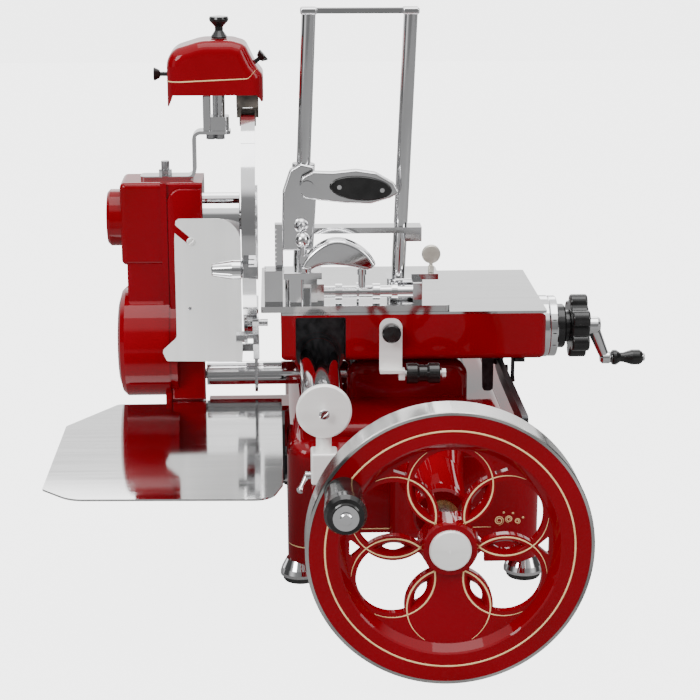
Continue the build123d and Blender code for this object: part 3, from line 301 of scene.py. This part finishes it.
FINISH = {
    "red": "base_casting drive_casing chain_cover flywheel_disc carriage_box sharpener_hood",
    "chrome": "foot_caps guide_rail bearing_tube cross_shaft_housing guard_ring "
              "deflector_knob handle_spindle end_collar feed_crank mast "
              "clamp_base clamp_jaw press_block press_lever clamp_lever "
              "sharpener_strap rail_lock_lever",
    "rim": "flywheel_rim",
    "satin": "hub_cap front_bracket rail_post",
    "nickel": "thumb_disc",
    "mirror": "receiving_tray carriage_top meat_table blade blade_flange",
    "sheet": "deflector_plate",
    "steel": "strap_bolts guard_brackets drive_shaft cross_shaft cross_gears counter_shaft "
             "drum_gears blade_shaft feed_nut",
    # rail_bushes are bronze, but take dark steel as painted shade inside the carriage's opening
    "dark": "drive_chain drive_link tray_bracket rail_bushes",
    "bronze": "shaft_bearings",
    "black": "handle_grip guide_roller bracket_knob thickness_knob dial_ring crank_grip "
             "lever_grip sharpener_knob left_stone_button right_stone_button",
    "rubber": "foot_pads",
    "stone": "sharpening_stones",
}


def finish_nodes():
    """Give each node its finish."""
    for key, names in FINISH.items():
        for name in names.split():
            slots = NODES[name].material_slots
            if not slots:
                NODES[name].data.materials.append(MATERIALS[key])
            for place in slots:
                place.material = MATERIALS[key]


# ---- tools for new pieces ------------------------------------------------------------
CLEAR = mm(0.05)         # how far a painted line stands off the surface under it


def new_piece(name, mesh, material, body, smooth=True):
    """Put a bmesh into the scene as a piece that rides on a body."""
    bmesh.ops.recalc_face_normals(mesh, faces=mesh.faces)
    data = bpy.data.meshes.new(name)
    mesh.to_mesh(data)
    mesh.free()
    piece = bpy.data.objects.new(name, data)
    bpy.context.scene.collection.objects.link(piece)
    data.materials.append(MATERIALS[material])
    for face in data.polygons:
        face.use_smooth = smooth
    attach(piece, body)
    return piece


def join_rings(mesh, rings, closed=False):
    """Faces between one ring of corners and the next, and from the last to the first if closed."""
    pairs = list(zip(rings, rings[1:]))
    if closed:
        pairs.append((rings[-1], rings[0]))
    for first, second in pairs:
        for k in range(len(first)):
            after = (k + 1) % len(first)
            mesh.faces.new((first[k], first[after], second[after], second[k]))


def stroke(mesh, points, normals, width, height, closed=False):
    """Raised painted line: a strip with sloping sides along points, its open ends drawn thin."""
    count = len(points)
    top_share, end_share, widening = 0.6, 0.25, 3.0
    rings = []
    for index, point in enumerate(points):
        before = points[(index - 1) % count] if closed or index else point
        after = points[(index + 1) % count] if closed or index < count - 1 else point
        along = (after - before).normalized()
        up = normals[index] if isinstance(normals, list) else normals
        side = along.cross(up).normalized()
        taper = 1.0
        if not closed:
            taper = min(1.0, end_share + widening * min(index, count - 1 - index) / count)
        half = side * width / 2 * taper
        top = half * top_share
        ring = (point - half, point - top + up * height, point + top + up * height, point + half)
        rings.append([mesh.verts.new(corner) for corner in ring])
    join_rings(mesh, rings, closed)
    if not closed:
        mesh.faces.new(rings[0])
        mesh.faces.new(reversed(rings[-1]))


def slab(outline, front_y, back_y, bevel):
    """Plate between two Y planes from an outline of (x, z), with bevelled edges in front."""
    mesh = bmesh.new()
    front = [mesh.verts.new((x, front_y, z)) for x, z in outline]
    back = [mesh.verts.new((x, back_y, z)) for x, z in outline]
    face = mesh.faces.new(front)
    mesh.faces.new(reversed(back))
    join_rings(mesh, [front, back])
    bmesh.ops.recalc_face_normals(mesh, faces=mesh.faces)
    bmesh.ops.bevel(mesh, geom=list(face.edges), offset=bevel, segments=3, profile=0.5,
                    affect="EDGES", clamp_overlap=True)
    return mesh


def arc_points(x, z, radius, start, end, steps=10):
    """Points (x, z) of an arc between two angles in degrees."""
    turns = [math.radians(start + (end - start) * k / steps) for k in range(steps + 1)]
    return [(x + radius * math.cos(t), z + radius * math.sin(t)) for t in turns]


def on_surface(node, start, way):
    """Where a ray meets a node's surface, a hair above it, and which way the surface faces."""
    piece = NODES[node]
    place = piece.matrix_world
    inverse = place.inverted()
    hit, spot, normal, _ = piece.ray_cast(inverse @ start, (inverse.to_3x3() @ way).normalized())
    if not hit:
        raise ValueError(f"the ray from {start} misses {node}")
    normal = (place.to_3x3() @ normal).normalized()
    return place @ spot + normal * CLEAR, normal


def screw_head(name, place, radius, height, material, slotted=True):
    """Low domed screw head on the frame, facing forwards; one without a slot is a rivet."""
    way = TOWARDS_FRONT
    side = way.orthogonal().normalized()
    other = way.cross(side)
    slot_size = (radius * 2.4, radius * 0.28, height * 0.9)
    mesh = bmesh.new()
    count, rings = 32, []
    for grow, rise in ((1.0, 0.0), (1.0, 0.55), (0.93, 0.8), (0.8, 0.95), (0.55, 1.0)):
        rings.append([mesh.verts.new(Vector(place) + way * height * rise
                                     + (side * math.cos(t) + other * math.sin(t)) * radius * grow)
                      for t in (2 * math.pi * k / count for k in range(count))])
    join_rings(mesh, rings)
    mesh.faces.new(rings[-1])
    mesh.faces.new(reversed(rings[0]))
    piece = new_piece(name, mesh, material, "frame")
    if slotted:
        turn = Matrix((side, other, way)).transposed().to_4x4()
        turn.translation = Vector(place) + way * height
        cut_slot(piece, turn @ Matrix.Diagonal((*slot_size, 1.0)))


def cut_slot(piece, shape):
    """Cut a block, a unit cube placed and stretched by a matrix, out of a piece."""
    cut = bmesh.new()
    bmesh.ops.create_cube(cut, size=1.0)
    bmesh.ops.transform(cut, matrix=shape, verts=cut.verts)
    data = bpy.data.meshes.new("slot_tool")
    cut.to_mesh(data)
    cut.free()
    tool = bpy.data.objects.new("slot_tool", data)
    bpy.context.scene.collection.objects.link(tool)
    carve = piece.modifiers.new("slot", "BOOLEAN")
    carve.operation = "DIFFERENCE"
    carve.object = tool
    bpy.context.view_layer.update()
    result = piece.evaluated_get(bpy.context.evaluated_depsgraph_get())
    baked = bpy.data.meshes.new_from_object(result)
    piece.modifiers.clear()
    piece.data = baked
    bpy.data.objects.remove(tool)


# ---- painted lines -------------------------------------------------------------------
WHEEL_LINE = mm(2.0)     # width of the lines on the flywheel
LINE = mm(1.6)           # width of the lines on the base and the hood
CURL_LINE = mm(1.2)
PAINT = mm(0.2)          # how thick a line is
WHEEL_PAINT = mm(0.25)


def wheel_lines():
    """Painted lines of the flywheel: one ring, and six open loops on the web that cross the petals."""
    ring_radius, loop_place, loop_radius = mm(139.0), mm(72.4), mm(47.1)
    band, web = WHEEL_FRONT + mm(0.6), WHEEL_FRONT + mm(11.0)
    half_sweep, steps = 146.0, 48
    mesh = bmesh.new()

    def on_wheel(radius, angle, y):
        a = math.radians(angle)
        return Vector((WHEEL.x + radius * math.cos(a), y, WHEEL.z + radius * math.sin(a)))

    ring = [on_wheel(ring_radius, 2.0 * k, band) for k in range(180)]
    stroke(mesh, ring, TOWARDS_FRONT, WHEEL_LINE, WHEEL_PAINT, closed=True)
    for angle in range(30, 390, 60):
        centre = on_wheel(loop_place, angle, web)
        loop = arc_points(centre.x, centre.z, loop_radius, angle + 180 - half_sweep,
                          angle + 180 + half_sweep, 2 * steps)
        stroke(mesh, [Vector((x, web, z)) for x, z in loop], TOWARDS_FRONT, WHEEL_LINE, WHEEL_PAINT)
    new_piece("wheel_pin_lines", mesh, "gold", "flywheel")


def hood_line():
    """Painted line round the hood's lower part, which rises at the right shoulder on both sides."""
    low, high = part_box("sharpener_hood")
    right_end = (high.x - mm(8.0), high.z - mm(36.5))
    shoulder, bend = high.x - mm(22.0), mm(6.0)
    line_z, drop = high.z - mm(48.5), mm(3.9)
    corner, away = mm(16.0), mm(40.0)
    left, middle = low.x + corner, (low.y + high.y) / 2
    # the front's line, from the right edge down the shoulder and along to the left corner
    rise = arc_points(shoulder, line_z + bend, bend, -90.0, -45.0, 5)
    side = [right_end] + rise[::-1]
    path = []
    for (x0, z0), (x1, z1) in zip(side, side[1:]):
        path += [(x0 + (x1 - x0) * k / 4, z0 + (z1 - z0) * k / 4) for k in range(4)]
    path += [(shoulder + (left - shoulder) * k / 30, line_z - drop * k / 30) for k in range(30)]
    rays = [(Vector((x, low.y - away, z)), Vector((0, 1, 0))) for x, z in path]
    # round the corner, and along the left side to its middle
    height = path[-1][1]
    for k in range(13):
        turn = math.radians(90 * k / 12)
        way = Vector((math.sin(turn), math.cos(turn), 0))
        rays.append((Vector((left, low.y + corner, height)) - way * away, way))
    half = (high.y - low.y) / 2 - corner
    rays += [(Vector((left - away, low.y + corner + half * k / 6, height)), Vector((1, 0, 0)))
             for k in range(1, 7)]
    spots = [on_surface("sharpener_hood", start, way) for start, way in rays]
    # the back half mirrors the front one
    spots += [(Vector((p.x, 2 * middle - p.y, p.z)), Vector((n.x, -n.y, n.z)))
              for p, n in spots[-2::-1]]
    mesh = bmesh.new()
    stroke(mesh, [p for p, _ in spots], [n for _, n in spots], LINE, PAINT)
    new_piece("hood_line", mesh, "gold", "sharpener")


def base_lines():
    """Painted line above the front arch, ending in a curl of plain spirals, and one round the leg."""
    front = BASE_FRONT - CLEAR

    def on_base(along, up):
        return Vector((BASE_LEFT + along, front, up))

    mesh = bmesh.new()
    start, end, edge = mm(76.0), mm(262.0), mm(77.5)
    line = [on_base(start + (end - start) * k / 40, edge) for k in range(41)]
    stroke(mesh, line, TOWARDS_FRONT, LINE, PAINT)
    # spirals: place along and up and radius, in mm, and turns
    for along, up, size, turns in ((272, 86, 6.5, 2.2), (285, 88, 5.0, -2.0), (296, 85, 4.0, 1.8)):
        curl = []
        for k in range(49):
            part = k / 48
            angle = turns * math.pi * 2 * part - math.pi / 2
            radius = mm(size) * (1 - 0.75 * part)
            curl.append(on_base(mm(along) + radius * math.cos(angle), mm(up) + radius * math.sin(angle)))
        stroke(mesh, curl, TOWARDS_FRONT, CURL_LINE, PAINT)
    dot = mm(1.0)
    for along, up in ((278, 97), (290, 96), (303, 90)):
        ring = [on_base(*spot) for spot in arc_points(mm(along), mm(up), dot, 0.0, 315.0, 7)]
        stroke(mesh, ring, TOWARDS_FRONT, dot, PAINT, closed=True)
    new_piece("base_front_line", mesh, "gold", "frame")
    # round the front left leg: over its corner and along its front face
    mesh = bmesh.new()
    corner, length, height = mm(30.0), mm(42.0), mm(52.0)
    centre = Vector((BASE_LEFT + corner, BASE_FRONT + corner, height))
    points, ways = [], []
    for k in range(13):
        turn = math.radians(180 + 90 * k / 12)
        way = Vector((math.cos(turn), math.sin(turn), 0))
        points.append(centre + way * (corner + CLEAR))
        ways.append(way)
    for k in range(1, 9):
        points.append(on_base(corner + length * k / 8, height))
        ways.append(TOWARDS_FRONT)
    stroke(mesh, points, ways, LINE, PAINT)
    new_piece("base_leg_line", mesh, "gold", "frame")


# ---- fitted pieces -------------------------------------------------------------------
def mouth_painted_shade():
    """Painted shade: a thin dark sheet lining the opening in the carriage's front wall, where the rail
    goes in, darkening it as shade would.
    """
    low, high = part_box("carriage_box")
    front, back = low.y + mm(0.4), low.y + mm(37.6)
    left, right = RAIL.x - mm(30.7), RAIL.x + mm(34.7)
    foot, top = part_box("end_collar")[0].z + mm(20.0), high.z - mm(3.3)
    hole, spread = mm(30.3), 2.2
    mesh = bmesh.new()

    def quad(*corners):
        mesh.faces.new([mesh.verts.new(corner) for corner in corners])

    quad((left, front, foot), (left, back, foot), (left, back, top), (left, front, top))
    quad((right, front, foot), (right, back, foot), (right, back, top), (right, front, top))
    quad((left, front, top), (left, back, top), (right, back, top), (right, front, top))
    # back wall of the painted shade: from the upper half of the rail's hole out to the lining's sides
    # and top
    inner = arc_points(RAIL.x, RAIL.z, hole, 0.0, 180.0, 18)
    outer = [(min(max(RAIL.x + (x - RAIL.x) * spread, left), right),
              min(RAIL.z + (z - RAIL.z) * spread, top)) for x, z in inner]
    for k in range(len(inner) - 1):
        quad(*((x, back, z) for x, z in (inner[k], inner[k + 1], outer[k + 1], outer[k])))
    bmesh.ops.remove_doubles(mesh, verts=mesh.verts, dist=mm(0.01))
    # the dark steel here is painted shade inside the carriage's opening
    piece = new_piece("mouth_painted_shade", mesh, "dark", "carriage", smooth=False)
    thick = piece.modifiers.new("thickness", "SOLIDIFY")
    thick.thickness = mm(0.3)


def casing_pad():
    """Raised front face of the casing's right half, with a rounded upper corner."""
    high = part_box("drive_casing")[1]
    left, right = high.x - mm(46.0), high.x - mm(0.5)
    foot, top = mm(200.5), high.z - mm(7.0)
    corner, bevel = mm(18.0), mm(2.4)
    shaft = mid("bearing_tube").y
    front, back = shaft - mm(47.0), shaft - mm(40.2)
    outline = [(right, foot), (left, foot)]
    outline += arc_points(left + corner, top - corner, corner, 180.0, 90.0)
    outline += [(right, top)]
    mesh = slab(outline, front, back, bevel)
    new_piece("casing_front_face", mesh, "red", "frame")


def collar_sleeve():
    """Polished sleeve on the end collar, round the dial ring, with three black index marks."""
    centre = mid("end_collar")
    start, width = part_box("end_collar")[1].x - mm(0.5), mm(10.0)
    outer, inner, chamfer = mm(41.4), mm(30.4), mm(1.2)
    profile = [(inner, 0.0), (outer, 0.0), (outer, 0.86), (outer - chamfer, 1.0), (inner, 1.0)]
    count = 96
    mesh = bmesh.new()
    rings = []
    for k in range(count):
        turn = 2 * math.pi * k / count
        rings.append([mesh.verts.new((start + width * along, centre.y + radius * math.cos(turn),
                                      centre.z + radius * math.sin(turn))) for radius, along in profile])
    join_rings(mesh, rings, closed=True)
    new_piece("collar_sleeve", mesh, "chrome", "carriage", smooth=False)
    marks = bmesh.new()
    for angle in (205.0, 180.0, 155.0):
        turn = math.radians(angle)
        out = Vector((0, math.cos(turn), math.sin(turn)))
        foot = Vector((start, centre.y, centre.z)) + out * (outer + mm(0.02))
        line = [foot + Vector((width * (0.15 + 0.6 * k / 6), 0, 0)) for k in range(7)]
        stroke(marks, line, out, mm(1.4), mm(0.1))
    new_piece("collar_index_marks", marks, "black", "carriage", smooth=False)


def fasteners():
    """Screw head on the rail's end disc, and a screw and a rivet on the deflector."""
    disc_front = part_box("rail_post")[0].y
    screw_head("rail_end_screw", (RAIL.x, disc_front, RAIL.z), mm(6.5), mm(2.0), "chrome")
    low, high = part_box("deflector_plate")
    screw_head("deflector_screw", (low.x + mm(40.4), low.y, high.z - mm(30.0)), mm(5.5), mm(2.0),
               "satin")
    screw_head("deflector_rivet", (low.x + mm(37.0), low.y, high.z - mm(120.0)), mm(2.2), mm(0.9),
               "steel", slotted=False)


add_camera()
add_world()
add_lights()
add_floor()
finish_nodes()
wheel_lines()
hood_line()
base_lines()
mouth_painted_shade()
casing_pad()
collar_sleeve()
fasteners()
